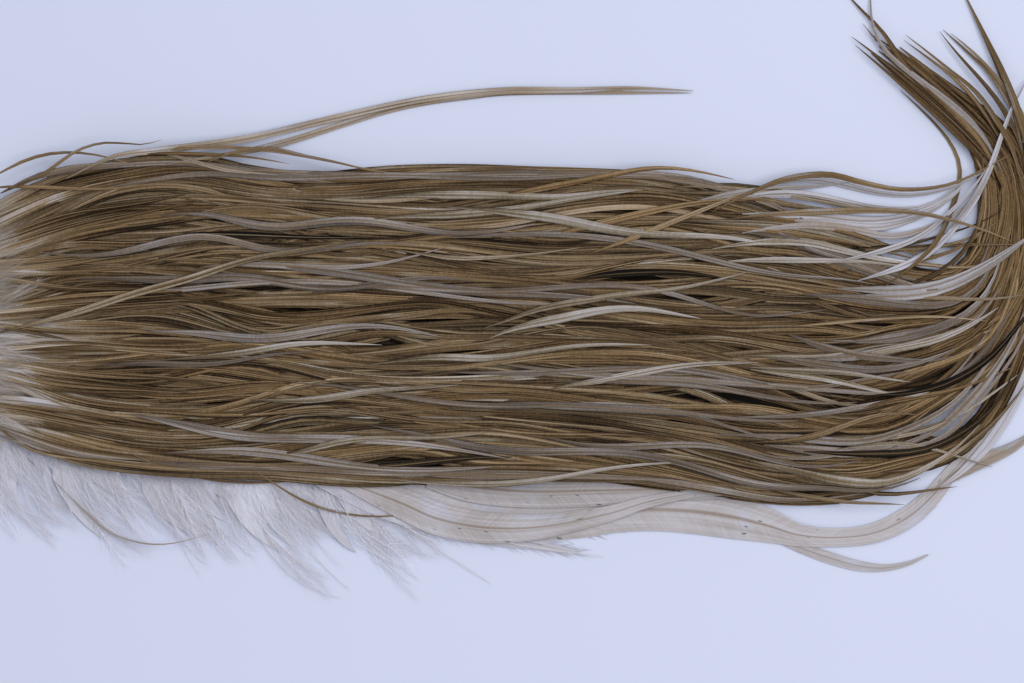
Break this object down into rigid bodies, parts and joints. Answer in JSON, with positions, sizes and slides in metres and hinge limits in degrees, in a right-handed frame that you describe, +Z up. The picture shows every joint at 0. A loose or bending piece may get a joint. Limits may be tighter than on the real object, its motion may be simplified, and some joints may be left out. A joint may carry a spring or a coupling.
{
  "type": "rooster saddle hackle",
  "caption": "Dried rooster saddle skin laid flat, with long narrow ginger hackle feathers that curl round at the tips, pale webby side feathers and white down.",
  "frame": {"origin": "middle of the skin's flat underside", "axes": "+X from the skin towards the feathers' tips, +Y the side the long tips curl to, +Z up from the surface it lies on"},
  "size_m": [0.305, 0.1595, 0.01],
  "materials": {
    "skin": "thin dried skin, matt and slightly wrinkled",
    "hackle_feather": "satin ginger and tan feather vanes, fine barbs along a glossy quill",
    "webby_feather": "soft pale greyish feather web with a tan quill",
    "down": "fluffy white down"
  },
  "bodies": {
    "root": {"skin": "skin", "under_lock_01": "hackle_feather", "under_lock_02": "hackle_feather", "under_lock_03": "hackle_feather", "under_lock_04": "hackle_feather", "under_lock_05": "hackle_feather", "under_lock_06": "hackle_feather", "under_lock_07": "hackle_feather", "under_lock_08": "hackle_feather", "under_lock_09": "hackle_feather", "under_lock_10": "hackle_feather", "under_lock_11": "hackle_feather", "under_lock_12": "hackle_feather", "top_lock_01": "hackle_feather", "top_lock_02": "hackle_feather", "top_lock_03": "hackle_feather", "top_lock_04": "hackle_feather", "top_lock_05": "hackle_feather", "top_lock_06": "hackle_feather", "top_lock_07": "hackle_feather", "top_lock_08": "hackle_feather", "top_lock_09": "hackle_feather", "top_lock_10": "hackle_feather", "top_lock_11": "hackle_feather", "top_lock_12": "hackle_feather", "top_lock_13": "hackle_feather", "top_lock_14": "hackle_feather", "top_lock_15": "hackle_feather", "top_lock_16": "hackle_feather", "cover_feather_1": "hackle_feather", "cover_feather_2": "hackle_feather", "cover_feather_3": "hackle_feather", "cover_feather_4": "hackle_feather", "cover_feather_5": "hackle_feather", "cover_feather_6": "hackle_feather", "stray_top_long": "hackle_feather", "stray_top_pair": "hackle_feather", "stray_top_left_loop": "hackle_feather", "stray_top_arch": "hackle_feather", "stray_bay_upper": "hackle_feather", "stray_bay_lower": "hackle_feather", "stray_tail_arc": "hackle_feather", "stray_tail_near": "hackle_feather", "stray_tail_middle": "hackle_feather", "stray_tail_far": "hackle_feather", "stray_low_left": "hackle_feather", "stray_low_loop": "hackle_feather", "side_feather_long": "webby_feather", "side_feather_near": "webby_feather", "side_feather_low": "webby_feather", "side_feather_right": "webby_feather", "side_feather_pale": "webby_feather", "down_plume_1": "down", "down_plume_2": "down", "down_plume_3": "down", "down_plume_4": "down", "down_plume_5": "down", "down_plume_6": "down", "front_down": "down"}
  },
  "joints": []
}
